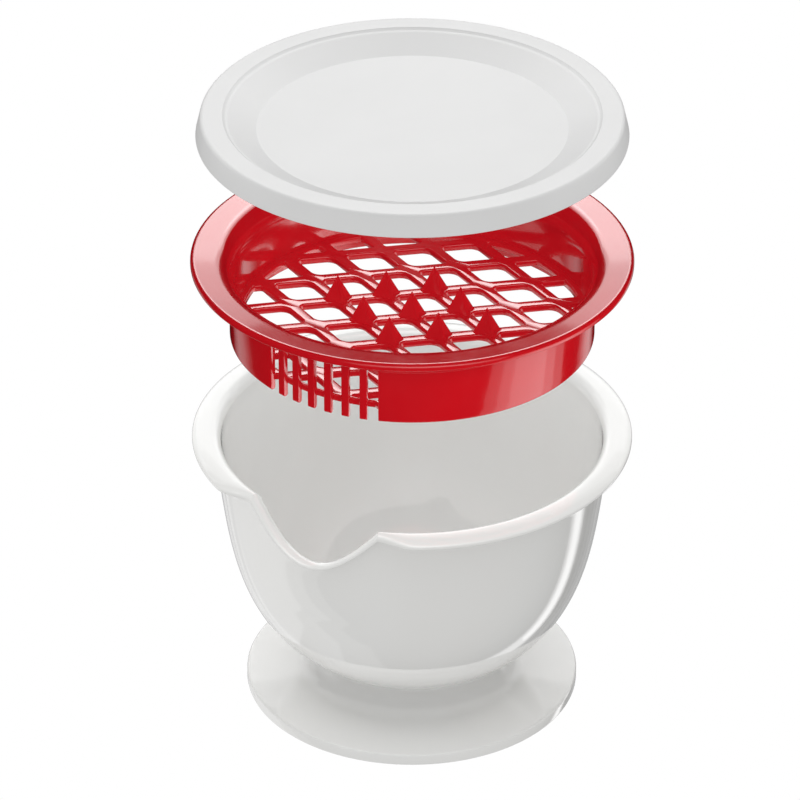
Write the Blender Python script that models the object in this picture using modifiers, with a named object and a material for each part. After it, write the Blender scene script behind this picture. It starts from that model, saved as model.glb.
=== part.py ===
"""Footed bowl with a pouring spout, a spiked sieve insert that hangs in its mouth, and a lid.

Three mouldings on one vertical axis, drawn lifted apart: bowl, sieve_insert and lid.
The origin is the centre of the foot's underside, +Z is up and the spout points to -Y.
"""
import math

import bmesh
import bpy
from mathutils import Matrix, Vector

# Bowl and foot
BOWL_HEIGHT = 0.1075
RIM_WIDTH = 0.0106
RIM_DROP = 0.0017
RIM_EDGE = 0.0010
RIM_CREST = 0.0036
RIM_UNDERCUT = 0.0010
MOUTH_RADIUS = 0.0702
BOWL_WALL = 0.0024
RIM_ROOT_DEPTH = 0.0062
RIM_ROOT_WIDTH = 0.0016
NECK_RADIUS = 0.0350
NECK_HEIGHT = 0.0155
NECK_FILLET = 0.0085
NECK_FLARE = 0.0050
FOOT_RADIUS = 0.0619
FOOT_EDGE = 0.0044
FOOT_RISE = 0.0020
FOOT_WALL = 0.0024
FOOT_ROUND = 0.0009
REST_RING_WIDTH = 0.0036
EDGE_EASE = 0.0006

# Roundness of the bowl's side, as shares of its width and height
BOWL_TAPER = 0.13
BOWL_SHOULDER = 0.466
BOWL_BELLY_IN = 0.16
BOWL_BELLY = 0.206

# Pouring spout, pressed down out of the rim
SPOUT_HALF_ANGLE = math.radians(20.5)
SPOUT_DIP = 0.0180
SPOUT_ROOT_DEPTH = 0.0460
SPOUT_PINCH = 0.60
PINCH_HALF_ANGLE = math.radians(31.0)
SPOUT_BEARING = math.radians(-90.0)

# Sieve insert
FLANGE_INSET = 0.0008
FLANGE_WIDTH = 0.0082
FLANGE_WALL = 0.0016
FLANGE_LIP = 0.0028
FLANGE_FALL = 0.0010
FLANGE_LIP_WALL = 0.0016
FLANGE_LIP_ROUND = 0.0012
SKIRT_CLEARANCE = 0.0040
SKIRT_DEPTH = 0.0319
SKIRT_WALL = 0.0021
SHOULDER_DEPTH = 0.0110
SHOULDER_ROUND = 0.0045
GRID_RAISE = 0.0037
GRID_THICKNESS = 0.0028
GRID_BORDER = 0.0026
GRID_PITCH = 0.0179
GRID_BEARINGS = (math.radians(40.7), math.radians(-28.3))
RIB_WIDTH = 0.0041
HOLE_SHARP_CORNER = 0.0013
HOLE_WIDE_CORNER = 0.0042
OUTER_HOLE_MARGIN = 0.0030
SPIKE_HEIGHT = 0.0096
SPIKE_REACH = 0.0050
SPIKES_PER_SIDE = 3
SPIKE_ROOT_RISE = 0.0004

# Pouring slots in the insert's skirt, in line with the spout
SLOT_COUNT = 7
SLOT_ANGLE = math.radians(3.5)
SLOT_BAR_ANGLE = math.radians(2.4)
SLOT_TOP_GAP = 0.0002
SLOT_BITE = 0.0008

# Lid
LID_INSET = 0.0027
LID_HEIGHT = 0.0082
LID_WALL = 0.0019
LID_DRAFT = 0.0024
LID_BAND = 0.0090
LID_RECESS_DEPTH = 0.0057
LID_RECESS_SLOPE = 0.0104
LID_ROUND = 0.0016
LID_CROWN = 0.0004

# How far each piece is lifted from its seat, and the gap left at each seat
SEAT_GAP = 0.0003
INSERT_LIFT = 0.0706
LID_LIFT = 0.0487

TURN_STEPS = 72
MERGE = 0.00001


def clear_scene():
    for old in list(bpy.data.objects):
        bpy.data.objects.remove(old, do_unlink=True)


def new_collection(name):
    group = bpy.data.collections.new(name)
    bpy.context.scene.collection.children.link(group)
    return group


def plastic(name, colour, roughness):
    material = bpy.data.materials.new(name)
    material.use_nodes = True
    shader = material.node_tree.nodes["Principled BSDF"]
    shader.inputs["Base Color"].default_value = (*colour, 1.0)
    shader.inputs["Roughness"].default_value = roughness
    shader.inputs["Metallic"].default_value = 0.0
    return material


def arc(centre, radii, start, end, count):
    """Points on an elliptical arc in the radius-height plane, angles in degrees."""
    points = []
    for step in range(count + 1):
        angle = math.radians(start + (end - start) * step / count)
        across = centre[0] + radii[0] * math.cos(angle)
        up = centre[1] + radii[1] * math.sin(angle)
        points.append((across, up))
    return points


def bezier(p0, p1, p2, p3, count):
    points = []
    for step in range(count + 1):
        t = step / count
        s = 1.0 - t
        weights = (s ** 3, 3 * s * s * t, 3 * s * t * t, t ** 3)
        across = sum(w * p[0] for w, p in zip(weights, (p0, p1, p2, p3)))
        up = sum(w * p[1] for w, p in zip(weights, (p0, p1, p2, p3)))
        points.append((across, up))
    return points


def offset_curve(points, distance):
    """The same curve moved by a wall thickness, to the right of its direction of travel."""
    moved = []
    for index, point in enumerate(points):
        before = points[max(index - 1, 0)]
        after = points[min(index + 1, len(points) - 1)]
        run = Vector((after[0] - before[0], after[1] - before[1])).normalized()
        moved.append((point[0] + run.y * distance, point[1] - run.x * distance))
    return moved


def turned(name, profile, group, steps=TURN_STEPS):
    """A solid of revolution: the profile leaves the axis on top and comes back below."""
    mesh = bpy.data.meshes.new(name)
    form = bmesh.new()
    verts = [form.verts.new((across, 0.0, up)) for across, up in profile]
    for first, second in zip(verts, verts[1:]):
        form.edges.new((first, second))
    form.to_mesh(mesh)
    form.free()
    piece = bpy.data.objects.new(name, mesh)
    group.objects.link(piece)
    screw = piece.modifiers.new("turn", "SCREW")
    screw.axis = "Z"
    screw.angle = math.tau
    screw.steps = steps
    screw.render_steps = steps
    screw.use_merge_vertices = True
    screw.merge_threshold = MERGE
    return piece


def freeze(piece):
    """Replace the object's profile by the solid that its modifiers make of it."""
    bpy.context.view_layer.update()
    evaluated = piece.evaluated_get(bpy.context.evaluated_depsgraph_get())
    solid = bpy.data.meshes.new_from_object(evaluated)
    solid.name = piece.name
    piece.modifiers.clear()
    piece.data = solid


def smooth(piece, angle=40.0):
    piece.data.shade_smooth()
    piece.data.set_sharp_from_angle(angle=math.radians(angle))


def add_boolean(piece, other, operation):
    cut = piece.modifiers.new(other.name, "BOOLEAN")
    cut.operation = operation
    cut.solver = "EXACT"
    cut.object = other


def as_guide(guide):
    guide.display_type = "WIRE"
    guide.hide_render = True


# ---------------------------------------------------------------- bowl

RIM_RADIUS = MOUTH_RADIUS + RIM_WIDTH


def bowl_outline():
    """Outer side of the bowl, from under the rim down to the neck above the foot."""
    top = (MOUTH_RADIUS + BOWL_WALL, BOWL_HEIGHT - RIM_ROOT_DEPTH)
    neck = (NECK_RADIUS, NECK_HEIGHT)
    width = top[0] - neck[0]
    height = top[1] - neck[1]
    shoulder = (top[0] - BOWL_TAPER * width, top[1] - BOWL_SHOULDER * height)
    belly = (top[0] - BOWL_BELLY_IN * width, neck[1] + BOWL_BELLY * height)
    return bezier(top, shoulder, belly, neck, 9)


def rim_top_at(radius):
    """Height of the rim's domed top, which falls away from its crest to its outer edge."""
    crest_middle = MOUTH_RADIUS + RIM_CREST
    share = (radius - crest_middle) / (RIM_RADIUS - crest_middle)
    return BOWL_HEIGHT - RIM_DROP * (1.0 - math.sqrt(1.0 - share * share))


def bowl_profile():
    outside = bowl_outline()
    inside = offset_curve(outside, BOWL_WALL)
    floor_height = inside[-1][1]
    crest_middle = MOUTH_RADIUS + RIM_CREST
    crest = arc((crest_middle, BOWL_HEIGHT - RIM_CREST), (RIM_CREST, RIM_CREST), 180, 90, 2)
    roll_width = RIM_RADIUS - crest_middle
    roll = arc((crest_middle, BOWL_HEIGHT - RIM_DROP), (roll_width, RIM_DROP), 90, 8, 3)
    under_edge = (RIM_RADIUS - EDGE_EASE, BOWL_HEIGHT - RIM_DROP - RIM_EDGE)
    root = (MOUTH_RADIUS + BOWL_WALL + RIM_ROOT_WIDTH, BOWL_HEIGHT - RIM_DROP - RIM_UNDERCUT)
    fillet_foot = NECK_RADIUS + NECK_FILLET
    cone_inner = FOOT_EDGE + FOOT_RISE
    flare = bezier((NECK_RADIUS, NECK_HEIGHT), (NECK_RADIUS, NECK_HEIGHT - NECK_FLARE),
                   (fillet_foot - NECK_FLARE, cone_inner), (fillet_foot, cone_inner), 4)
    hollow = offset_curve(flare, FOOT_WALL)
    edge_round = arc((FOOT_RADIUS - FOOT_ROUND, FOOT_EDGE - FOOT_ROUND), (FOOT_ROUND, FOOT_ROUND), 90, 0, 2)
    rest_inner = FOOT_RADIUS - REST_RING_WIDTH
    under_floor = floor_height - FOOT_WALL
    profile = [(0.0, floor_height)]
    profile += list(reversed(inside))
    profile += crest + roll[1:]
    profile += [under_edge, root]
    profile += outside
    profile += flare[1:]
    profile += edge_round
    profile += [(FOOT_RADIUS, EDGE_EASE), (FOOT_RADIUS - EDGE_EASE, 0.0), (rest_inner, 0.0)]
    profile += [(rest_inner - EDGE_EASE, FOOT_EDGE - FOOT_WALL)]
    profile += list(reversed(hollow))
    profile += [(0.0, under_floor)]
    return profile


def press_spout(piece):
    """Draw the rim in on both sides of the spout, and let it down between them along a cosine."""
    root_height = BOWL_HEIGHT - SPOUT_ROOT_DEPTH
    wall_radius = MOUTH_RADIUS + BOWL_WALL
    for vert in piece.data.vertices:
        bearing = math.atan2(vert.co.y, vert.co.x)
        turn = abs(math.remainder(bearing - SPOUT_BEARING, math.tau))
        if turn >= PINCH_HALF_ANGLE or vert.co.z <= root_height:
            continue
        near = min(1.0, (PINCH_HALF_ANGLE - turn) / (PINCH_HALF_ANGLE - SPOUT_HALF_ANGLE))
        pinch = SPOUT_PINCH * near * near * (3.0 - 2.0 * near)
        dip = math.cos(min(1.0, turn / SPOUT_HALF_ANGLE) * math.pi / 2)
        radius = math.hypot(vert.co.x, vert.co.y)
        beyond = max(0.0, radius - wall_radius)
        scale = (radius - beyond * pinch) / radius
        share = (vert.co.z - root_height) / SPOUT_ROOT_DEPTH
        vert.co.x *= scale
        vert.co.y *= scale
        vert.co.z -= SPOUT_DIP * dip * share


def make_bowl(group):
    bowl = turned("bowl", bowl_profile(), group)
    freeze(bowl)
    press_spout(bowl)
    bowl.data.materials.append(plastic("bowl_plastic", (0.80, 0.80, 0.79), 0.18))
    smooth(bowl)
    return bowl


# ---------------------------------------------------------------- sieve insert

FLANGE_RADIUS = RIM_RADIUS - FLANGE_INSET
SEAT_RADIUS = FLANGE_RADIUS - FLANGE_LIP_WALL
FLANGE_TOP = rim_top_at(SEAT_RADIUS) + SEAT_GAP + FLANGE_LIP + INSERT_LIFT
SKIRT_RADIUS = MOUTH_RADIUS - SKIRT_CLEARANCE
SKIRT_BOTTOM = FLANGE_TOP - SKIRT_DEPTH
GRID_BOTTOM = SKIRT_BOTTOM + GRID_RAISE
GRID_TOP = GRID_BOTTOM + GRID_THICKNESS
DISH_RADIUS = SKIRT_RADIUS - SKIRT_WALL
HOLE_LIMIT = DISH_RADIUS - GRID_BORDER


def flange_top_at(radius):
    """Height of the flange's top, which falls evenly from its rounded outer edge to the shoulder."""
    outer_edge = FLANGE_RADIUS - FLANGE_LIP_ROUND
    slope = FLANGE_FALL / (FLANGE_WIDTH - FLANGE_LIP_ROUND)
    return FLANGE_TOP - slope * (outer_edge - radius)


def insert_profile():
    inner_edge = FLANGE_RADIUS - FLANGE_WIDTH
    inner_top = flange_top_at(inner_edge)
    shoulder_low = FLANGE_TOP - SHOULDER_DEPTH
    shoulder = bezier((DISH_RADIUS, shoulder_low), (DISH_RADIUS, FLANGE_TOP - SHOULDER_ROUND),
                      (inner_edge - SHOULDER_ROUND, inner_top), (inner_edge, inner_top), 4)
    lip_round = arc((FLANGE_RADIUS - FLANGE_LIP_ROUND, FLANGE_TOP - FLANGE_LIP_ROUND),
                    (FLANGE_LIP_ROUND, FLANGE_LIP_ROUND), 90, 0, 2)
    lip_bottom = FLANGE_TOP - FLANGE_LIP
    under = offset_curve(shoulder, FLANGE_WALL)
    profile = [(0.0, GRID_TOP), (DISH_RADIUS - EDGE_EASE, GRID_TOP)]
    profile += shoulder
    profile += lip_round
    profile += [(FLANGE_RADIUS, lip_bottom), (SEAT_RADIUS, lip_bottom)]
    profile += [(SEAT_RADIUS, FLANGE_TOP - FLANGE_WALL)]
    profile += list(reversed(under))
    profile += [(SKIRT_RADIUS, SKIRT_BOTTOM), (DISH_RADIUS, SKIRT_BOTTOM)]
    profile += [(DISH_RADIUS, GRID_BOTTOM), (0.0, GRID_BOTTOM)]
    return profile


def rib_directions():
    return [Vector((math.cos(angle), math.sin(angle), 0.0)) for angle in GRID_BEARINGS]


def rounded_outline(corners, segments):
    """A rhombus' outline: its pointed corners get a small arc and its blunt ones a wide arc."""
    points = []
    total = len(corners)
    for index, corner in enumerate(corners):
        to_before = (corners[index - 1] - corner).normalized()
        to_after = (corners[(index + 1) % total] - corner).normalized()
        half = to_before.angle(to_after) / 2
        radius = HOLE_SHARP_CORNER if half < math.pi / 4 else HOLE_WIDE_CORNER
        centre = corner + (to_before + to_after).normalized() * radius / math.sin(half)
        first = corner + to_before * radius / math.tan(half) - centre
        last = corner + to_after * radius / math.tan(half) - centre
        for step in range(segments + 1):
            blend = first.lerp(last, step / segments).normalized() * radius
            points.append(centre + blend)
    return points


def hole_outlines():
    along, across = rib_directions()
    slant = abs(along.cross(across).z)
    inset = RIB_WIDTH / 2 / slant
    half = GRID_PITCH / 2 - inset
    reach = int(HOLE_LIMIT / GRID_PITCH) + 2
    outlines = []
    for row in range(-reach, reach):
        for column in range(-reach, reach):
            middle = (row + 0.5) * GRID_PITCH * along + (column + 0.5) * GRID_PITCH * across
            if middle.length > HOLE_LIMIT - OUTER_HOLE_MARGIN:
                continue
            corners = [middle + half * (a * along + c * across)
                       for a, c in ((-1, -1), (-1, 1), (1, 1), (1, -1))]
            outlines.append(rounded_outline(corners, 3))
    return outlines


def make_hole_cutter(guides):
    """All the grid's holes as upright prisms, trimmed to the circle inside the border."""
    outline = bpy.data.curves.new("hole_outlines", "CURVE")
    outline.dimensions = "2D"
    outline.fill_mode = "BOTH"
    outline.extrude = GRID_THICKNESS
    for points in hole_outlines():
        spline = outline.splines.new("POLY")
        spline.points.add(len(points) - 1)
        for slot, point in zip(spline.points, points):
            slot.co = (point.x, point.y, 0.0, 1.0)
        spline.use_cyclic_u = True
    drawn = bpy.data.objects.new("hole_outlines", outline)
    drawn.location.z = (GRID_TOP + GRID_BOTTOM) / 2
    guides.objects.link(drawn)
    bpy.context.view_layer.update()
    evaluated = drawn.evaluated_get(bpy.context.evaluated_depsgraph_get())
    mesh = bpy.data.meshes.new_from_object(evaluated)
    form = bmesh.new()
    form.from_mesh(mesh)
    bmesh.ops.remove_doubles(form, verts=form.verts, dist=MERGE)
    bmesh.ops.recalc_face_normals(form, faces=form.faces)
    form.to_mesh(mesh)
    form.free()
    cutter = bpy.data.objects.new("grid_holes", mesh)
    cutter.matrix_world = drawn.matrix_world
    guides.objects.link(cutter)
    bpy.data.objects.remove(drawn)
    bpy.ops.mesh.primitive_cylinder_add(vertices=TURN_STEPS, radius=HOLE_LIMIT, depth=4 * GRID_THICKNESS,
                                        location=(0, 0, (GRID_TOP + GRID_BOTTOM) / 2))
    limit = bpy.context.object
    limit.name = "hole_limit"
    move_to(limit, guides)
    add_boolean(cutter, limit, "INTERSECT")
    as_guide(limit)
    as_guide(cutter)
    return cutter


def move_to(piece, group):
    for owner in list(piece.users_collection):
        owner.objects.unlink(piece)
    group.objects.link(piece)


def make_spike_guide(guides):
    """Nine four-sided spikes whose edges run down the ribs, on roots let into the grid."""
    along, across = rib_directions()
    skew = Matrix(((along.x, across.x, 0), (along.y, across.y, 0), (0, 0, 1))).to_4x4()
    root = GRID_THICKNESS - SPIKE_ROOT_RISE
    form = bmesh.new()
    half = SPIKES_PER_SIDE // 2
    for row in range(-half, half + 1):
        for column in range(-half, half + 1):
            place = Vector((row * GRID_PITCH, column * GRID_PITCH, GRID_TOP - root / 2))
            made = bmesh.ops.create_cone(form, cap_ends=True, segments=4, radius1=SPIKE_REACH,
                                         radius2=SPIKE_REACH, depth=root,
                                         matrix=skew @ Matrix.Translation(place))
            tops = [face for face in {f for v in made["verts"] for f in v.link_faces}
                    if face.calc_center_median().z > GRID_TOP - root / 4]
            for tip in bmesh.ops.poke(form, faces=tops)["verts"]:
                tip.co.z = GRID_TOP + SPIKE_HEIGHT
    bmesh.ops.recalc_face_normals(form, faces=form.faces)
    mesh = bpy.data.meshes.new("spikes")
    form.to_mesh(mesh)
    form.free()
    spikes = bpy.data.objects.new("spikes", mesh)
    guides.objects.link(spikes)
    as_guide(spikes)
    return spikes


def make_slot_cutter(guides):
    """Upright slots through the skirt, open at its lower edge, centred on the spout."""
    pitch = SLOT_ANGLE + SLOT_BAR_ANGLE
    width = 2 * SKIRT_RADIUS * math.sin(SLOT_ANGLE / 2)
    inner = DISH_RADIUS - SLOT_BITE
    outer = SKIRT_RADIUS + SKIRT_WALL
    top = FLANGE_TOP - SHOULDER_DEPTH - SLOT_TOP_GAP
    bottom = SKIRT_BOTTOM - SKIRT_WALL
    form = bmesh.new()
    for index in range(SLOT_COUNT):
        bearing = SPOUT_BEARING + (index - (SLOT_COUNT - 1) / 2) * pitch
        place = Matrix.Rotation(bearing, 4, "Z")
        place @= Matrix.Translation(((inner + outer) / 2, 0, (top + bottom) / 2))
        place @= Matrix.Diagonal((outer - inner, width, top - bottom, 1.0))
        bmesh.ops.create_cube(form, size=1.0, matrix=place)
    mesh = bpy.data.meshes.new("skirt_slots")
    form.to_mesh(mesh)
    form.free()
    cutter = bpy.data.objects.new("skirt_slots", mesh)
    guides.objects.link(cutter)
    as_guide(cutter)
    return cutter


def make_insert(group, guides):
    insert = turned("sieve_insert", insert_profile(), group)
    add_boolean(insert, make_hole_cutter(guides), "DIFFERENCE")
    add_boolean(insert, make_spike_guide(guides), "UNION")
    add_boolean(insert, make_slot_cutter(guides), "DIFFERENCE")
    freeze(insert)
    insert.data.materials.clear()
    insert.data.materials.append(plastic("insert_plastic", (0.60, 0.008, 0.014), 0.16))
    smooth(insert, 30.0)
    return insert


# ---------------------------------------------------------------- lid

LID_RADIUS = FLANGE_RADIUS - LID_INSET
LID_BOTTOM = flange_top_at(LID_RADIUS) + SEAT_GAP + LID_LIFT
LID_TOP = LID_BOTTOM + LID_HEIGHT


def lid_profile():
    crest_radius = LID_RADIUS - LID_DRAFT
    band_inner = crest_radius - LID_BAND
    floor_radius = band_inner - LID_RECESS_SLOPE
    floor_top = LID_TOP - LID_RECESS_DEPTH
    third = LID_RECESS_SLOPE / 3
    recess = bezier((floor_radius, floor_top), (floor_radius + third, floor_top),
                    (band_inner - third, LID_TOP - LID_CROWN * 2), (band_inner, LID_TOP - LID_CROWN), 4)
    outer_round = arc((crest_radius - LID_ROUND / 2, LID_TOP - LID_ROUND), (LID_ROUND, LID_ROUND), 90, 15, 2)
    upper = recess + [(band_inner + LID_ROUND, LID_TOP)] + outer_round
    under = offset_curve(upper, LID_WALL)
    profile = [(0.0, floor_top)]
    profile += upper
    profile += [(LID_RADIUS, LID_BOTTOM + EDGE_EASE), (LID_RADIUS - EDGE_EASE, LID_BOTTOM)]
    profile += [(LID_RADIUS - LID_WALL, LID_BOTTOM)]
    profile += list(reversed(under))
    profile += [(0.0, floor_top - LID_WALL)]
    return profile


def make_lid(group):
    lid = turned("lid", lid_profile(), group)
    lid.data.materials.append(plastic("lid_plastic", (0.78, 0.78, 0.78), 0.42))
    freeze(lid)
    smooth(lid)
    return lid


def main():
    clear_scene()
    group = new_collection("footed_sieve_bowl")
    guides = new_collection("cutters")
    make_bowl(group)
    make_insert(group, guides)
    make_lid(group)


main()
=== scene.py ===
"""A footed white bowl with a pouring spout, its red spiked sieve insert and its lid, drawn lifted apart."""
import math

import bmesh
import bpy
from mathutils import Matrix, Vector


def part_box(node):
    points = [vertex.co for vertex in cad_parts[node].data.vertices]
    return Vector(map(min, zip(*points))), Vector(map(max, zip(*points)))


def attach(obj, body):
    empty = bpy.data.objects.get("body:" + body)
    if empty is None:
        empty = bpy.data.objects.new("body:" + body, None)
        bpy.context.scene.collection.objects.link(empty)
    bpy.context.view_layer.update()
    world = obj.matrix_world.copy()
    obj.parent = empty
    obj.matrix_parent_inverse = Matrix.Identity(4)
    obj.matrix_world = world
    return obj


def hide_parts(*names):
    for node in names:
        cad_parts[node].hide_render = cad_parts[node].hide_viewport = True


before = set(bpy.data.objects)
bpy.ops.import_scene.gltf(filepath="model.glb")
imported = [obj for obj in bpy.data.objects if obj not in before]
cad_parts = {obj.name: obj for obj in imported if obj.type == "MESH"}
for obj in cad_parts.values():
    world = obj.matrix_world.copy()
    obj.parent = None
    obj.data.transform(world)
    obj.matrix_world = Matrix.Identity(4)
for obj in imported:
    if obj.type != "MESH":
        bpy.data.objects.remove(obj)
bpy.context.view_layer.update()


# ---------------------------------------------------------------- bowl
# The bowl, its domed rim, pouring spout and disc foot are one injection moulding in glossy white
# plastic. The spout is pressed down out of the rim, which is drawn in on both sides of it.
# The bowl stands free on the ring under its foot, and nothing is fastened to it.

_, bowl_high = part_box("bowl")
BOWL_HEIGHT = bowl_high.z
RIM_RADIUS = bowl_high.x
RIM_DROP = 0.0017
RIM_EDGE = 0.0010
RIM_CREST = 0.0036
RIM_UNDERCUT = 0.0010
MOUTH_RADIUS = 0.0702
BOWL_WALL = 0.0024
RIM_ROOT_DEPTH = 0.0062
RIM_ROOT_WIDTH = 0.0016
NECK_RADIUS = 0.0350
NECK_HEIGHT = 0.0155
NECK_FILLET = 0.0085
NECK_FLARE = 0.0050
FOOT_RADIUS = 0.0619
FOOT_EDGE = 0.0044
FOOT_RISE = 0.0020
FOOT_WALL = 0.0024
FOOT_ROUND = 0.0009
REST_RING_WIDTH = 0.0036
EDGE_EASE = 0.0006
BOWL_TAPER = 0.13
BOWL_SHOULDER = 0.466
BOWL_BELLY_IN = 0.16
BOWL_BELLY = 0.206
SPOUT_BEARING = -90.0
SPOUT_HALF_ANGLE = 20.5
PINCH_HALF_ANGLE = 31.0
SPOUT_DIP = 0.0180
SPOUT_ROOT_DEPTH = 0.0460
SPOUT_PINCH = 0.60
FINE_STEP = 0.65
COARSE_STEP = 1.5
FULL_TURN = 360.0
WALL_STEPS = 40
CREST_STEPS = 10
DOME_STEPS = 14
FLARE_STEPS = 12
ROUND_STEPS = 6
FILLET_STEPS = 5
CONE_SHARES = (0.25, 0.5, 0.75)
FOOT_EDGE_START = 85.0

WHITE = (0.88, 0.88, 0.868)
WARM_WHITE = (0.87, 0.865, 0.85)
BOWL_GLOSS = (0.07, 0.12)
MOULD_GRAIN = 900.0
MOULD_GRAIN_DEPTH = 0.000004

MERGE_DISTANCE = 0.000002
SLIVER_LENGTH = 0.000001
SHARP_ANGLE = 38.0
DRIFT_SCALE = 14.0
DRIFT_TONES = (0.35, 0.62)
POLISH_SCALE = 95.0
POLISH_SPAN = (0.3, 0.7)
RIPPLE_SCALE = 32.0
RIPPLE_DEPTH = 0.00006


def arc(centre, radii, start, end, count):
    """Points on an elliptical arc in the radius-height plane, angles in degrees."""
    points = []
    for step in range(count + 1):
        angle = math.radians(start + (end - start) * step / count)
        points.append((centre[0] + radii[0] * math.cos(angle), centre[1] + radii[1] * math.sin(angle)))
    return points


def bezier(p0, p1, p2, p3, count):
    """Points on a cubic curve in the radius-height plane."""
    points = []
    for step in range(count + 1):
        t = step / count
        s = 1.0 - t
        weights = (s ** 3, 3 * s * s * t, 3 * s * t * t, t ** 3)
        across = sum(w * p[0] for w, p in zip(weights, (p0, p1, p2, p3)))
        up = sum(w * p[1] for w, p in zip(weights, (p0, p1, p2, p3)))
        points.append((across, up))
    return points


def offset_curve(points, distance):
    """The same curve moved by a wall thickness, to the right of its direction of travel."""
    moved = []
    for index, point in enumerate(points):
        before = points[max(index - 1, 0)]
        after = points[min(index + 1, len(points) - 1)]
        run = Vector((after[0] - before[0], after[1] - before[1])).normalized()
        moved.append((point[0] + run.y * distance, point[1] - run.x * distance))
    return moved


def fillet(before, corner, after, radius, count=FILLET_STEPS):
    """An arc of the given radius between two straight runs that meet at a corner."""
    corner = Vector(corner)
    back = (Vector(before) - corner).normalized()
    ahead = (Vector(after) - corner).normalized()
    half = back.angle(ahead) / 2
    centre = corner + (back + ahead).normalized() * radius / math.sin(half)
    first = corner + back * radius / math.tan(half) - centre
    last = corner + ahead * radius / math.tan(half) - centre
    points = []
    for step in range(count + 1):
        spoke = first.lerp(last, step / count).normalized() * radius
        points.append(tuple(centre + spoke))
    return points


def spread(start, end, step):
    """Bearings from start up to, but without, end, evenly spaced by about one step."""
    count = max(1, round((end - start) / step))
    return [start + (end - start) * index / count for index in range(count)]


def revolve(profile, bearings, closed=False, gap=lambda index, turn: False):
    """A body turned about Z from a profile in the radius-height plane, with rings at the bearings."""
    form = bmesh.new()
    rings = []
    for bearing in bearings:
        angle = math.radians(bearing)
        rings.append([form.verts.new((r * math.cos(angle), r * math.sin(angle), z)) for r, z in profile])
    total = len(profile)
    for turn, ring in enumerate(rings):
        following = rings[(turn + 1) % len(rings)]
        for index in range(total if closed else total - 1):
            if gap(index, turn):
                continue
            after = (index + 1) % total
            form.faces.new((ring[index], ring[after], following[after], following[index]))
    return form, rings


def finish_piece(name, form, material, node):
    """Make the object, shade it smooth, and let it stand for its CAD node and ride on that body."""
    bmesh.ops.remove_doubles(form, verts=form.verts, dist=MERGE_DISTANCE)
    bmesh.ops.dissolve_degenerate(form, edges=form.edges, dist=SLIVER_LENGTH)
    bmesh.ops.recalc_face_normals(form, faces=form.faces)
    mesh = bpy.data.meshes.new(name)
    form.to_mesh(mesh)
    form.free()
    mesh.shade_smooth()
    mesh.set_sharp_from_angle(angle=math.radians(SHARP_ANGLE))
    mesh.materials.append(material)
    piece = bpy.data.objects.new(name, mesh)
    bpy.context.scene.collection.objects.link(piece)
    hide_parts(node)
    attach(piece, node)
    return piece


def add_node(tree, kind, **sockets):
    """A shader node with its sockets set by name, with _ for each space."""
    node = tree.nodes.new(kind)
    for name, value in sockets.items():
        node.inputs[name.replace("_", " ")].default_value = value
    return node


def moulded_plastic(name, colour, shade, gloss, grain, grain_depth):
    """Moulded plastic: faint drifts of colour, a polish that varies, and the mould's own fine skin."""
    material = bpy.data.materials.new(name)
    material.use_nodes = True
    tree = material.node_tree
    shader = tree.nodes["Principled BSDF"]
    place = tree.nodes.new("ShaderNodeTexCoord")

    drift = add_node(tree, "ShaderNodeTexNoise", Scale=DRIFT_SCALE, Detail=3.0, Distortion=0.6)
    tones = tree.nodes.new("ShaderNodeValToRGB")
    for stop, position, tone in zip(tones.color_ramp.elements, DRIFT_TONES, (shade, colour)):
        stop.position = position
        stop.color = (*tone, 1.0)
    tree.links.new(place.outputs["Object"], drift.inputs["Vector"])
    tree.links.new(drift.outputs["Fac"], tones.inputs["Fac"])
    tree.links.new(tones.outputs["Color"], shader.inputs["Base Color"])

    polish = add_node(tree, "ShaderNodeTexNoise", Scale=POLISH_SCALE, Detail=4.0, Roughness=0.6)
    polish_range = add_node(tree, "ShaderNodeMapRange", From_Min=POLISH_SPAN[0], From_Max=POLISH_SPAN[1],
                            To_Min=gloss[0], To_Max=gloss[1])
    tree.links.new(place.outputs["Object"], polish.inputs["Vector"])
    tree.links.new(polish.outputs["Fac"], polish_range.inputs["Value"])
    tree.links.new(polish_range.outputs["Result"], shader.inputs["Roughness"])

    ripple = add_node(tree, "ShaderNodeTexNoise", Scale=RIPPLE_SCALE, Detail=1.0)
    skin = add_node(tree, "ShaderNodeTexNoise", Scale=grain, Detail=3.0, Roughness=0.55)
    ripple_bump = add_node(tree, "ShaderNodeBump", Strength=0.35, Distance=RIPPLE_DEPTH)
    skin_bump = add_node(tree, "ShaderNodeBump", Strength=0.5, Distance=grain_depth)
    tree.links.new(place.outputs["Object"], ripple.inputs["Vector"])
    tree.links.new(place.outputs["Object"], skin.inputs["Vector"])
    tree.links.new(ripple.outputs["Fac"], ripple_bump.inputs["Height"])
    tree.links.new(skin.outputs["Fac"], skin_bump.inputs["Height"])
    tree.links.new(ripple_bump.outputs["Normal"], skin_bump.inputs["Normal"])
    tree.links.new(skin_bump.outputs["Normal"], shader.inputs["Normal"])
    return material, shader


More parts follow.
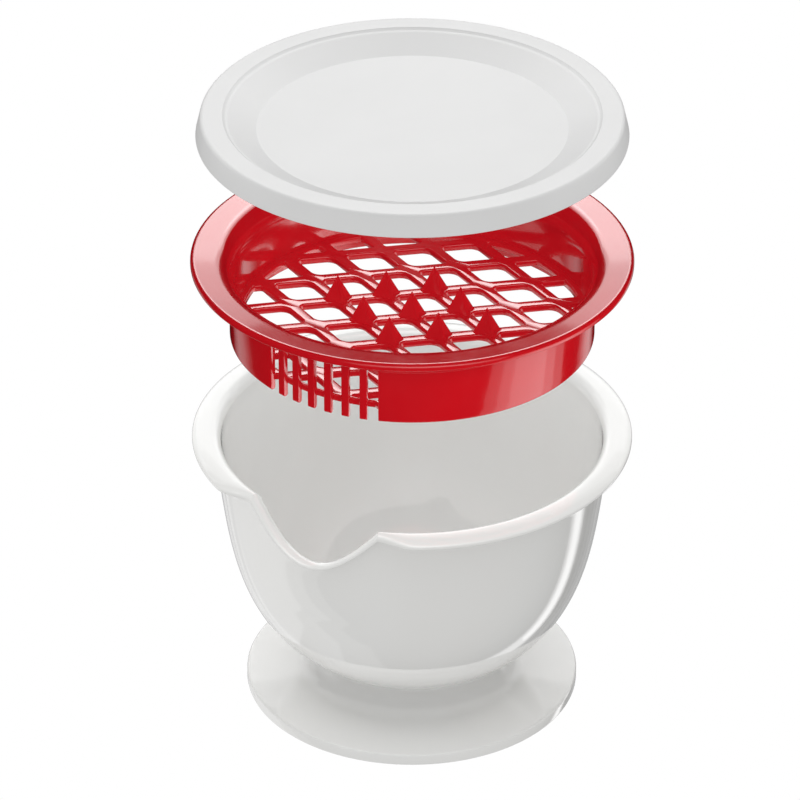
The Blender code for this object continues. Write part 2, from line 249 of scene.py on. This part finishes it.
def bowl_section():
    """The bowl's section, from the middle of its floor, up inside, over the rim and down to the foot."""
    top = (MOUTH_RADIUS + BOWL_WALL, BOWL_HEIGHT - RIM_ROOT_DEPTH)
    neck = (NECK_RADIUS, NECK_HEIGHT)
    width = top[0] - neck[0]
    height = top[1] - neck[1]
    shoulder = (top[0] - BOWL_TAPER * width, top[1] - BOWL_SHOULDER * height)
    belly = (top[0] - BOWL_BELLY_IN * width, neck[1] + BOWL_BELLY * height)
    outside = bezier(top, shoulder, belly, neck, WALL_STEPS)
    inside = offset_curve(outside, BOWL_WALL)
    floor_height = inside[-1][1]
    floor_edge = inside[-1][0]
    crest_middle = MOUTH_RADIUS + RIM_CREST
    crest = arc((crest_middle, BOWL_HEIGHT - RIM_CREST), (RIM_CREST, RIM_CREST), 180, 90, CREST_STEPS)
    dome = arc((crest_middle, BOWL_HEIGHT - RIM_DROP), (RIM_RADIUS - crest_middle, RIM_DROP), 90, 0,
               DOME_STEPS)
    under_height = BOWL_HEIGHT - RIM_DROP - RIM_EDGE
    lip = (RIM_RADIUS, under_height)
    root = (top[0] + RIM_ROOT_WIDTH, under_height)
    fillet_foot = NECK_RADIUS + NECK_FILLET
    cone_inner = FOOT_EDGE + FOOT_RISE
    flare = bezier(neck, (NECK_RADIUS, NECK_HEIGHT - NECK_FLARE),
                   (fillet_foot - NECK_FLARE, cone_inner), (fillet_foot, cone_inner), FLARE_STEPS)
    cone = [(fillet_foot + (FOOT_RADIUS - fillet_foot) * share, cone_inner - FOOT_RISE * share)
            for share in CONE_SHARES]
    edge = arc((FOOT_RADIUS - FOOT_ROUND, FOOT_EDGE - FOOT_ROUND), (FOOT_ROUND, FOOT_ROUND),
               FOOT_EDGE_START, 0, ROUND_STEPS)
    rest_inner = FOOT_RADIUS - REST_RING_WIDTH
    under_floor = floor_height - FOOT_WALL
    under_edge = (rest_inner - EDGE_EASE, FOOT_EDGE - FOOT_WALL)
    hollow = offset_curve(flare, FOOT_WALL)
    section = [(0.0, floor_height), (floor_edge / 2, floor_height)]
    section += list(reversed(inside))
    section += crest + dome[1:]
    section += fillet(dome[-1], lip, root, EDGE_EASE)
    section += fillet(lip, root, top, RIM_UNDERCUT)
    section += outside[1:]
    section += flare[1:] + cone + edge
    section += fillet(edge[-1], (FOOT_RADIUS, 0.0), (rest_inner, 0.0), EDGE_EASE)
    section += fillet((FOOT_RADIUS, 0.0), (rest_inner, 0.0), under_edge, EDGE_EASE / 2)
    section += fillet((rest_inner, 0.0), under_edge, hollow[-1], EDGE_EASE)
    section += list(reversed(hollow[1:]))
    section += fillet(hollow[1], (hollow[0][0], under_floor), (0.0, under_floor), RIM_UNDERCUT)
    section += [(floor_edge / 2, under_floor), (0.0, under_floor)]
    return section


def press_spout(form):
    """Draw the rim in on both sides of the spout, and let it down between them along a cosine."""
    root_height = BOWL_HEIGHT - SPOUT_ROOT_DEPTH
    wall_radius = MOUTH_RADIUS + BOWL_WALL
    for vert in form.verts:
        bearing = math.degrees(math.atan2(vert.co.y, vert.co.x))
        turn = abs(math.remainder(bearing - SPOUT_BEARING, FULL_TURN))
        if turn >= PINCH_HALF_ANGLE or vert.co.z <= root_height:
            continue
        near = min(1.0, (PINCH_HALF_ANGLE - turn) / (PINCH_HALF_ANGLE - SPOUT_HALF_ANGLE))
        pinch = SPOUT_PINCH * near * near * (3.0 - 2.0 * near)
        dip = math.cos(min(1.0, turn / SPOUT_HALF_ANGLE) * math.pi / 2)
        radius = math.hypot(vert.co.x, vert.co.y)
        beyond = max(0.0, radius - wall_radius)
        scale = (radius - beyond * pinch) / radius
        share = (vert.co.z - root_height) / SPOUT_ROOT_DEPTH
        vert.co.x *= scale
        vert.co.y *= scale
        vert.co.z -= SPOUT_DIP * dip * share


bowl_bearings = spread(-SPOUT_HALF_ANGLE, SPOUT_HALF_ANGLE, FINE_STEP)
bowl_bearings += spread(SPOUT_HALF_ANGLE, PINCH_HALF_ANGLE, FINE_STEP)
bowl_bearings += spread(PINCH_HALF_ANGLE, FULL_TURN - PINCH_HALF_ANGLE, COARSE_STEP)
bowl_bearings += spread(FULL_TURN - PINCH_HALF_ANGLE, FULL_TURN - SPOUT_HALF_ANGLE, FINE_STEP)
bowl_form, _ = revolve(bowl_section(), [SPOUT_BEARING + bearing for bearing in bowl_bearings])
press_spout(bowl_form)
bowl_plastic, bowl_shader = moulded_plastic("bowl_plastic", WHITE, WARM_WHITE, BOWL_GLOSS,
                                            MOULD_GRAIN, MOULD_GRAIN_DEPTH)
bowl_shader.inputs["IOR"].default_value = 1.55
bowl_shader.inputs["Coat Weight"].default_value = 1.0
bowl_shader.inputs["Coat Roughness"].default_value = 0.03
bowl_piece = finish_piece("bowl_moulding", bowl_form, bowl_plastic, "bowl")


# ---------------------------------------------------------------- sieve insert
# The insert is one injection moulding in glossy red plastic: a flange with a turned-down lip, a dish
# wall and skirt, a grid of slanting ribs, and nine four-sided spikes on the ribs' crossings.
# It drops into the bowl's mouth and hangs by its flange, with the slots in its skirt at the spout.

insert_low, insert_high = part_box("sieve_insert")
FLANGE_TOP = insert_high.z
FLANGE_RADIUS = insert_high.x
SKIRT_BOTTOM = insert_low.z
FLANGE_WIDTH = 0.0082
FLANGE_WALL = 0.0016
FLANGE_LIP = 0.0028
FLANGE_LIP_WALL = 0.0016
FLANGE_LIP_ROUND = 0.0015
LIP_ROUND_STEPS = 8
LIP_OUTER_ROUND = FLANGE_LIP_WALL * 0.4
LIP_INNER_ROUND = FLANGE_LIP_WALL * 0.3
FLANGE_FALL = 0.0010
SKIRT_CLEARANCE = 0.0040
SKIRT_RADIUS = MOUTH_RADIUS - SKIRT_CLEARANCE
SKIRT_WALL = 0.0021
SKIRT_END_ROUND = 0.0009
SHOULDER_DEPTH = 0.0110
SHOULDER_ROUND = 0.0045
SHOULDER_STEPS = 18
DISH_RADIUS = SKIRT_RADIUS - SKIRT_WALL
GRID_DEPTH = 0.0254
GRID_TOP = FLANGE_TOP - GRID_DEPTH
GRID_THICKNESS = 0.0028
GRID_ROUND = 0.0007
GRID_BORDER = 0.0026
GRID_PITCH = 0.0179
GRID_BEARINGS = (40.7, -28.3)
RIB_WIDTH = 0.0041
HOLE_SHARP_CORNER = 0.0013
HOLE_WIDE_CORNER = 0.0042
HOLE_CLIPPED_CORNER = 0.0009
HOLE_CORNER_SHARE = 0.45
HOLE_CORNER_STEPS = 6
SHARP_BEND = 90.0
FLAT_BEND = 8.0
LEAST_SIDE = 0.00005
LEAST_HOLE = 0.0000080
BORDER_SIDES = 180
SPIKE_HEIGHT = 0.0096
SPIKE_REACH = 0.0052
SPIKE_VALLEY = 0.0026
SPIKE_RIDGE = 0.00032
SPIKE_RIDGE_FOOT = 1.4
SPIKE_HOLLOWING = 1.15
# Each level up a spike: its height and its width, as shares of the whole spike's.
SPIKE_LEVELS = ((-0.10, 1.06), (0.0, 1.0), (0.04, 0.93), (0.14, 0.83),
                (0.35, 0.62), (0.62, 0.355), (0.85, 0.14), (0.96, 0.05))
SLOT_COUNT = 7
SLOT_ANGLE = 3.5
SLOT_BAR_ANGLE = 2.4
SLOT_TOP_DEPTH = 0.0112
SLOT_TOP = FLANGE_TOP - SLOT_TOP_DEPTH
SLOT_ROUND = 0.00045
SLOT_EDGE_BEND = 0.9
GRID_BITE = 0.0010

RED = (0.53, 0.005, 0.010)
DEEP_RED = (0.47, 0.003, 0.008)
INSERT_GLOSS = (0.10, 0.16)


def insert_section():
    """Closed section of the flange, dish wall and skirt; the part below the slots' top comes last."""
    flange_inner = FLANGE_RADIUS - FLANGE_WIDTH
    inner_top = FLANGE_TOP - FLANGE_FALL
    shoulder = bezier((DISH_RADIUS, FLANGE_TOP - SHOULDER_DEPTH), (DISH_RADIUS, FLANGE_TOP - SHOULDER_ROUND),
                      (flange_inner - SHOULDER_ROUND, inner_top), (flange_inner, inner_top), SHOULDER_STEPS)
    under = offset_curve(shoulder, FLANGE_WALL)
    lip_bottom = FLANGE_TOP - FLANGE_LIP
    lip_inner = FLANGE_RADIUS - FLANGE_LIP_WALL
    under_height = FLANGE_TOP - FLANGE_WALL
    top_edge = (FLANGE_RADIUS, FLANGE_TOP)
    outer_foot = (FLANGE_RADIUS, lip_bottom)
    inner_foot = (lip_inner, lip_bottom)
    lip_root = (lip_inner, under_height)
    upper = [(DISH_RADIUS, SLOT_TOP)]
    upper += shoulder
    upper += fillet(shoulder[-1], top_edge, outer_foot, FLANGE_LIP_ROUND, LIP_ROUND_STEPS)
    upper += fillet(top_edge, outer_foot, inner_foot, LIP_OUTER_ROUND)
    upper += fillet(outer_foot, inner_foot, lip_root, LIP_INNER_ROUND)
    upper += fillet(inner_foot, lip_root, under[-1], EDGE_EASE)
    upper += list(reversed(under))
    upper += [(SKIRT_RADIUS, SLOT_TOP)]
    outer_end = (SKIRT_RADIUS, SKIRT_BOTTOM)
    inner_end = (DISH_RADIUS, SKIRT_BOTTOM)
    lower = [(SKIRT_RADIUS, GRID_TOP), (SKIRT_RADIUS, GRID_TOP - GRID_THICKNESS)]
    lower += fillet(lower[-1], outer_end, inner_end, SKIRT_END_ROUND, ROUND_STEPS)
    lower += fillet(outer_end, inner_end, (DISH_RADIUS, GRID_TOP), SKIRT_END_ROUND, ROUND_STEPS)
    lower += [(DISH_RADIUS, GRID_TOP - GRID_THICKNESS), (DISH_RADIUS, GRID_TOP)]
    return upper, lower


def slot_spans():
    """Start and end bearing of each slot, counted from the middle of the spout."""
    pitch = SLOT_ANGLE + SLOT_BAR_ANGLE
    starts = [(index - (SLOT_COUNT - 1) / 2) * pitch - SLOT_ANGLE / 2 for index in range(SLOT_COUNT)]
    return [(start, start + SLOT_ANGLE) for start in starts]


def make_shell():
    """Flange, dish wall and skirt, with the slots left open and their edges eased."""
    upper, lower = insert_section()
    spans = slot_spans()
    bearings = []
    slot_turns = set()
    edges = []
    for number, (start, end) in enumerate(spans):
        edges.append(len(bearings))
        bearings += spread(start, end, FINE_STEP)
        slot_turns.update(range(edges[-1], len(bearings)))
        edges.append(len(bearings))
        if number + 1 < len(spans):
            bearings += spread(end, spans[number + 1][0], FINE_STEP)
    bearings += spread(spans[-1][1], FULL_TURN + spans[0][0], COARSE_STEP)
    first_low = len(upper) - 1
    shell, rings = revolve(upper + lower, [SPOUT_BEARING + bearing for bearing in bearings], closed=True,
                           gap=lambda index, turn: index >= first_low and turn in slot_turns)
    for turn in slot_turns:
        ring = rings[turn]
        following = rings[turn + 1]
        shell.faces.new((ring[0], following[0], following[first_low], ring[first_low]))
    for turn in edges:
        shell.faces.new(rings[turn][first_low:] + [rings[turn][0]])
    bmesh.ops.recalc_face_normals(shell, faces=shell.faces)
    corners = [edge for edge in shell.edges
               if edge.is_manifold and edge.calc_face_angle() > SLOT_EDGE_BEND]
    bmesh.ops.bevel(shell, geom=corners, offset=SLOT_ROUND, segments=3, profile=0.5, affect="EDGES",
                    clamp_overlap=True)
    return shell


def clip_to_circle(corners, radius):
    """The part of a convex outline inside a circle about the origin, which is cut as a polygon."""
    for index in range(BORDER_SIDES):
        angle = math.tau * (index + 0.5) / BORDER_SIDES
        normal = Vector((math.cos(angle), math.sin(angle)))
        kept = []
        for position, point in enumerate(corners):
            before = corners[position - 1]
            inside = point.dot(normal) <= radius
            was_inside = before.dot(normal) <= radius
            if inside != was_inside:
                share = (radius - before.dot(normal)) / (point - before).dot(normal)
                kept.append(before.lerp(point, share))
            if inside:
                kept.append(point)
        corners = kept
        if not corners:
            break
    return corners


def area_of(corners):
    """Area of an outline, whichever way round it runs."""
    return abs(sum(corners[i - 1].cross(corners[i]) for i in range(len(corners)))) / 2


def soften(corners):
    """Round an outline's corners: small arcs in pointed ones, wide arcs in blunt ones."""
    points = []
    total = len(corners)
    for index, corner in enumerate(corners):
        before = corners[index - 1]
        after = corners[(index + 1) % total]
        bend = math.degrees((corner - before).angle(after - corner))
        room = min((corner - before).length, (after - corner).length) * HOLE_CORNER_SHARE
        if bend < FLAT_BEND or room < LEAST_SIDE:
            points.append(corner)
            continue
        radius = HOLE_SHARP_CORNER if bend > SHARP_BEND else HOLE_WIDE_CORNER
        if total > 4:
            radius = HOLE_CLIPPED_CORNER
        radius = min(radius, room / math.tan(math.radians(bend) / 2))
        points += [Vector(point) for point in fillet(before, corner, after, radius, HOLE_CORNER_STEPS)]
    return points


def at_bearing(bearing, radius=1.0):
    """The point at a bearing and radius in the plane of the grid."""
    return Vector((radius * math.cos(math.radians(bearing)), radius * math.sin(math.radians(bearing))))


def hole_outlines():
    """Rhombic holes between the ribs, cut off where they meet the border."""
    along, across = [at_bearing(bearing) for bearing in GRID_BEARINGS]
    slant = abs(along.cross(across))
    half = GRID_PITCH / 2 - RIB_WIDTH / 2 / slant
    limit = DISH_RADIUS - GRID_BORDER
    reach = int(limit / GRID_PITCH) + 2
    outlines = []
    for row in range(-reach, reach):
        for column in range(-reach, reach):
            middle = (row + 0.5) * GRID_PITCH * along + (column + 0.5) * GRID_PITCH * across
            corners = [middle + half * (a * along + c * across)
                       for a, c in ((-1, -1), (-1, 1), (1, 1), (1, -1))]
            corners = clip_to_circle(corners, limit)
            if len(corners) > 2 and area_of(corners) > LEAST_HOLE:
                outlines.append(soften(corners))
    return outlines


def turn_direction(points, wanted):
    """The outline run anticlockwise when wanted is positive, and clockwise when it is negative."""
    turning = sum(points[i - 1].cross(points[i]) for i in range(len(points)))
    return points if (turning > 0) == (wanted > 0) else list(reversed(points))


def make_grid():
    """The ribbed plate, drawn flat with its holes and given rounded edges."""
    slot_reach = slot_spans()[-1][1]
    border = []
    for bearing in spread(0.0, FULL_TURN, COARSE_STEP):
        at_slots = abs(math.remainder(bearing - SPOUT_BEARING, FULL_TURN)) < slot_reach
        radius = DISH_RADIUS - GRID_BITE if at_slots else DISH_RADIUS + GRID_BITE
        border.append(at_bearing(bearing, radius))
    drawing = bpy.data.curves.new("grid_outline", "CURVE")
    drawing.dimensions = "2D"
    drawing.fill_mode = "BOTH"
    drawing.extrude = GRID_THICKNESS / 2 - GRID_ROUND
    drawing.bevel_depth = GRID_ROUND
    drawing.bevel_resolution = 2
    drawing.offset = -GRID_ROUND
    outlines = [turn_direction(border, 1)] + [turn_direction(hole, -1) for hole in hole_outlines()]
    for points in outlines:
        spline = drawing.splines.new("POLY")
        spline.points.add(len(points) - 1)
        for knot, point in zip(spline.points, points):
            knot.co = (point.x, point.y, 0.0, 1.0)
        spline.use_cyclic_u = True
    drawn = bpy.data.objects.new("grid_outline", drawing)
    drawn.location.z = GRID_TOP - GRID_THICKNESS / 2
    bpy.context.scene.collection.objects.link(drawn)
    bpy.context.view_layer.update()
    mesh = bpy.data.meshes.new_from_object(drawn.evaluated_get(bpy.context.evaluated_depsgraph_get()))
    mesh.transform(drawn.matrix_world)
    bpy.data.objects.remove(drawn)
    return mesh


def make_spikes():
    """Nine spikes on the ribs' crossings, with hollow faces between ridges that run down the ribs."""
    along, across = [at_bearing(bearing).to_3d() for bearing in GRID_BEARINGS]
    ridges = [along, across, -along, -across]
    if along.cross(across).z < 0:
        ridges.reverse()
    spikes = bmesh.new()
    for row in (-1, 0, 1):
        for column in (-1, 0, 1):
            foot = row * GRID_PITCH * along + column * GRID_PITCH * across
            foot.z = GRID_TOP
            rings = []
            for rise, width in SPIKE_LEVELS:
                centre = foot + Vector((0, 0, SPIKE_HEIGHT * rise))
                ring = []
                for index, ridge in enumerate(ridges):
                    following = ridges[(index + 1) % 4]
                    side = Vector((-ridge.y, ridge.x, 0)) * SPIKE_RIDGE * (SPIKE_RIDGE_FOOT - max(rise, 0.0))
                    valley = (ridge + following).normalized()
                    hollow = SPIKE_VALLEY * width ** SPIKE_HOLLOWING
                    ring.append(spikes.verts.new(centre + ridge * SPIKE_REACH * width - side))
                    ring.append(spikes.verts.new(centre + ridge * SPIKE_REACH * width + side))
                    ring.append(spikes.verts.new(centre + valley * hollow))
                rings.append(ring)
            around = len(rings[0])
            for lower, upper in zip(rings, rings[1:]):
                for index in range(around):
                    after = (index + 1) % around
                    spikes.faces.new((lower[index], lower[after], upper[after], upper[index]))
            tip = spikes.verts.new(foot + Vector((0, 0, SPIKE_HEIGHT)))
            for index in range(around):
                spikes.faces.new((rings[-1][index], rings[-1][(index + 1) % around], tip))
            spikes.faces.new(list(reversed(rings[0])))
    mesh = bpy.data.meshes.new("spikes")
    spikes.to_mesh(mesh)
    spikes.free()
    return mesh


insert_form = make_shell()
insert_form.from_mesh(make_grid())
insert_form.from_mesh(make_spikes())
insert_plastic, insert_shader = moulded_plastic("insert_plastic", RED, DEEP_RED, INSERT_GLOSS,
                                                MOULD_GRAIN, MOULD_GRAIN_DEPTH)
insert_shader.inputs["IOR"].default_value = 1.52
insert_shader.inputs["Coat Weight"].default_value = 0.5
insert_shader.inputs["Coat Roughness"].default_value = 0.04
insert_piece = finish_piece("insert_moulding", insert_form, insert_plastic, "sieve_insert")
# Hidden from bounced light, so that its red doesn't tint the white pieces beside it.
insert_piece.visible_diffuse = False


# ---------------------------------------------------------------- lid
# The lid is one injection moulding in satin white plastic: a shallow dished disc with a short skirt.
# It lies loose on the insert's flange, and lifts straight off.

lid_low, lid_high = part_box("lid")
LID_RADIUS = lid_high.x
LID_TOP = lid_high.z
LID_BOTTOM = lid_low.z
LID_WALL = 0.0019
LID_DRAFT = 0.0024
LID_BAND = 0.0090
LID_RECESS_DEPTH = 0.0057
LID_RECESS_SLOPE = 0.0104
LID_ROUND = 0.0016
LID_CROWN = 0.0009
LID_CORNER_ROUND = 0.0009
LID_BAND_ROUND = 0.0040
LID_BAND_STEPS = 10
LID_SHOULDER_END = 15.0
LID_SHOULDER_STEPS = 8

SATIN_WHITE = (0.71, 0.71, 0.71)
SATIN_SHADE = (0.69, 0.69, 0.69)
LID_GLOSS = (0.34, 0.42)
SATIN_GRAIN = 1500.0
SATIN_GRAIN_DEPTH = 0.00001


def lid_section():
    """The lid's section, from the middle of its recess, over the band and down the skirt, and back below."""
    crest_radius = LID_RADIUS - LID_DRAFT
    band_inner = crest_radius - LID_BAND
    floor_radius = band_inner - LID_RECESS_SLOPE
    floor_top = LID_TOP - LID_RECESS_DEPTH
    floor_corner = (floor_radius, floor_top)
    band_corner = (band_inner, LID_TOP - LID_CROWN)
    recess = fillet((0.0, floor_top), floor_corner, band_corner, LID_CORNER_ROUND, ROUND_STEPS)
    recess += fillet(floor_corner, band_corner, (crest_radius, LID_TOP), LID_BAND_ROUND, LID_BAND_STEPS)
    shoulder = arc((crest_radius - LID_ROUND / 2, LID_TOP - LID_ROUND), (LID_ROUND, LID_ROUND), 90,
                   LID_SHOULDER_END, LID_SHOULDER_STEPS)
    upper = recess + [(band_inner + LID_ROUND, LID_TOP)] + shoulder
    under = offset_curve(upper, LID_WALL)
    outer_foot = (LID_RADIUS, LID_BOTTOM)
    inner_foot = (LID_RADIUS - LID_WALL, LID_BOTTOM)
    section = [(0.0, floor_top), (floor_radius / 2, floor_top)]
    section += upper
    section += fillet(upper[-1], outer_foot, inner_foot, EDGE_EASE)
    section += fillet(outer_foot, inner_foot, under[-1], EDGE_EASE / 2)
    section += list(reversed(under))
    section += [(floor_radius / 2, floor_top - LID_WALL), (0.0, floor_top - LID_WALL)]
    return section


lid_form, _ = revolve(lid_section(), spread(0.0, FULL_TURN, COARSE_STEP))
lid_plastic, lid_shader = moulded_plastic("lid_plastic", SATIN_WHITE, SATIN_SHADE, LID_GLOSS,
                                          SATIN_GRAIN, SATIN_GRAIN_DEPTH)
lid_shader.inputs["IOR"].default_value = 1.48
lid_piece = finish_piece("lid_moulding", lid_form, lid_plastic, "lid")
# Hidden from bounced light and from reflections, so that it neither darkens the pieces below nor shows
# in their gloss.
lid_piece.visible_diffuse = False
lid_piece.visible_glossy = False


# ---------------------------------------------------------------- studio
# A glowing white table that also fills the background, an even pale sky, soft boxes that each shine on
# one piece and are blocked by that piece only, as though the three had been lit one by one, and a long
# lens that looks down on the spout from its right. The table takes and casts no shadow.

TABLE_HALF = 4.0
TABLE_CELLS = 8
TABLE_DROP = 0.0002
WORLD_STRENGTH = 0.77
LOOK_AT_HEIGHT = 0.1193
CAMERA_BEARING = 30.0
CAMERA_ELEVATION = 30.7
CAMERA_DISTANCE = 2.012
CAMERA_LENS = 247.5
FRAME_SHIFT = 0.0044
FARTHEST_SEEN = 50.0
LAMP_DISTANCE = 1.6
LAYER_GAP = 0.01
LAYER_SHARES = (1.0, 0.72, 0.44)
# Each soft box: name, bearing and elevation of its middle, width and height, radiance, and whether it
# only shows as a reflection. All are angles in degrees but the radiance, and a bearing of 0 is the camera's.
BOWL_BOXES = (
    ("bowl_back", 180.0, 23.0, 100.0, 46.0, 1.35, True),
    ("bowl_left", -120.0, -35.0, 70.0, 100.0, 0.7, False),
    ("bowl_right", 122.0, -35.0, 12.0, 100.0, 1.6, True),
    ("bowl_rear_left", -165.0, -20.0, 44.0, 110.0, 0.5, True),
    ("bowl_rear_right", 162.0, -20.0, 40.0, 110.0, 0.4, True),
    ("bowl_overhead", -30.0, 78.0, 60.0, 40.0, 1.7, False),
)
INSERT_BOXES = (
    ("insert_crown", 180.0, 42.0, 44.0, 32.0, 6.5, True),
    ("insert_left", -134.0, -30.0, 26.0, 60.0, 0.5, False),
    ("insert_right", 76.0, -30.0, 54.0, 60.0, 2.1, False),
    ("insert_rear_right", 141.0, -30.0, 26.0, 60.0, 0.7, False),
    ("insert_front", 8.0, 30.0, 70.0, 40.0, 2.1, False),
)
LID_BOXES = (
    ("lid_back", 180.0, 50.0, 80.0, 50.0, 2.3, False),
    ("lid_left", -100.0, 10.0, 50.0, 30.0, 1.2, False),
    ("lid_right", 100.0, 10.0, 50.0, 30.0, 1.2, False),
    ("lid_front", 0.0, -10.0, 70.0, 40.0, 0.7, False),
)

table_form = bmesh.new()
bmesh.ops.create_grid(table_form, x_segments=TABLE_CELLS, y_segments=TABLE_CELLS, size=TABLE_HALF)
table_mesh = bpy.data.meshes.new("table")
table_form.to_mesh(table_mesh)
table_form.free()
table = bpy.data.objects.new("table", table_mesh)
table.location.z = -TABLE_DROP
bpy.context.scene.collection.objects.link(table)
table_surface = bpy.data.materials.new("lit_table")
table_surface.use_nodes = True
table_shader = table_surface.node_tree.nodes["Principled BSDF"]
table_shader.inputs["Base Color"].default_value = (0.0, 0.0, 0.0, 1.0)
table_shader.inputs["Roughness"].default_value = 0.9
table_shader.inputs["Specular IOR Level"].default_value = 0.0
table_shader.inputs["Emission Color"].default_value = (1.0, 1.0, 1.0, 1.0)
table_shader.inputs["Emission Strength"].default_value = 1.0
table_mesh.materials.append(table_surface)
table.visible_diffuse = False
table.visible_glossy = False
table.visible_shadow = False

world = bpy.data.worlds.new("studio")
world.use_nodes = True
world.cycles_visibility.glossy = False
world.cycles.sampling_method = "NONE"
sky = world.node_tree
backdrop = sky.nodes["Background"]
backdrop.inputs["Color"].default_value = (1.0, 1.0, 0.995, 1.0)
backdrop.inputs["Strength"].default_value = WORLD_STRENGTH
bpy.context.scene.world = world


def outward(bearing, elevation):
    """The direction from the object at a bearing, counted from the spout towards +X, and an elevation."""
    turn = math.radians(bearing)
    rise = math.radians(elevation)
    return Vector((math.sin(turn) * math.cos(rise), -math.cos(turn) * math.cos(rise), math.sin(rise)))


def place_facing(holder, place, back):
    """Put a lamp or camera in the scene, looking the opposite way to back."""
    holder.location = place
    holder.rotation_mode = "QUATERNION"
    holder.rotation_quaternion = (-back).to_track_quat("-Z", "Y")
    bpy.context.scene.collection.objects.link(holder)


def soft_box(piece, name, bearing, elevation, width, height, radiance, mirrored_only):
    """A glowing panel that faces the piece it lights, in nested layers that make its middle brightest."""
    back = outward(CAMERA_BEARING + bearing, elevation)
    lit = bpy.data.collections.new(name)
    lit.objects.link(piece)
    for layer, share in enumerate(LAYER_SHARES):
        lamp = bpy.data.lights.new(f"{name}_{layer}", "AREA")
        lamp.shape = "RECTANGLE"
        lamp.size = 2 * LAMP_DISTANCE * math.tan(math.radians(width * share / 2))
        lamp.size_y = 2 * LAMP_DISTANCE * math.tan(math.radians(height * share / 2))
        lamp.energy = radiance / len(LAYER_SHARES) * math.pi * lamp.size * lamp.size_y
        holder = bpy.data.objects.new(lamp.name, lamp)
        place = Vector((0, 0, LOOK_AT_HEIGHT)) + back * (LAMP_DISTANCE + LAYER_GAP * layer)
        place_facing(holder, place, back)
        holder.visible_diffuse = not mirrored_only
        holder.light_linking.receiver_collection = lit
        holder.light_linking.blocker_collection = lit


for lit_piece, boxes in ((bowl_piece, BOWL_BOXES), (insert_piece, INSERT_BOXES), (lid_piece, LID_BOXES)):
    for box in boxes:
        soft_box(lit_piece, *box)

camera_data = bpy.data.cameras.new("camera")
camera_data.lens = CAMERA_LENS
camera_data.clip_end = FARTHEST_SEEN
camera = bpy.data.objects.new("camera", camera_data)
camera_back = outward(CAMERA_BEARING, CAMERA_ELEVATION)
camera_right = outward(CAMERA_BEARING + 90.0, 0.0)
look_at = Vector((0, 0, LOOK_AT_HEIGHT)) - camera_right * FRAME_SHIFT
place_facing(camera, look_at + camera_back * CAMERA_DISTANCE, camera_back)
bpy.context.scene.camera = camera
bpy.context.scene.view_settings.view_transform = "Standard"
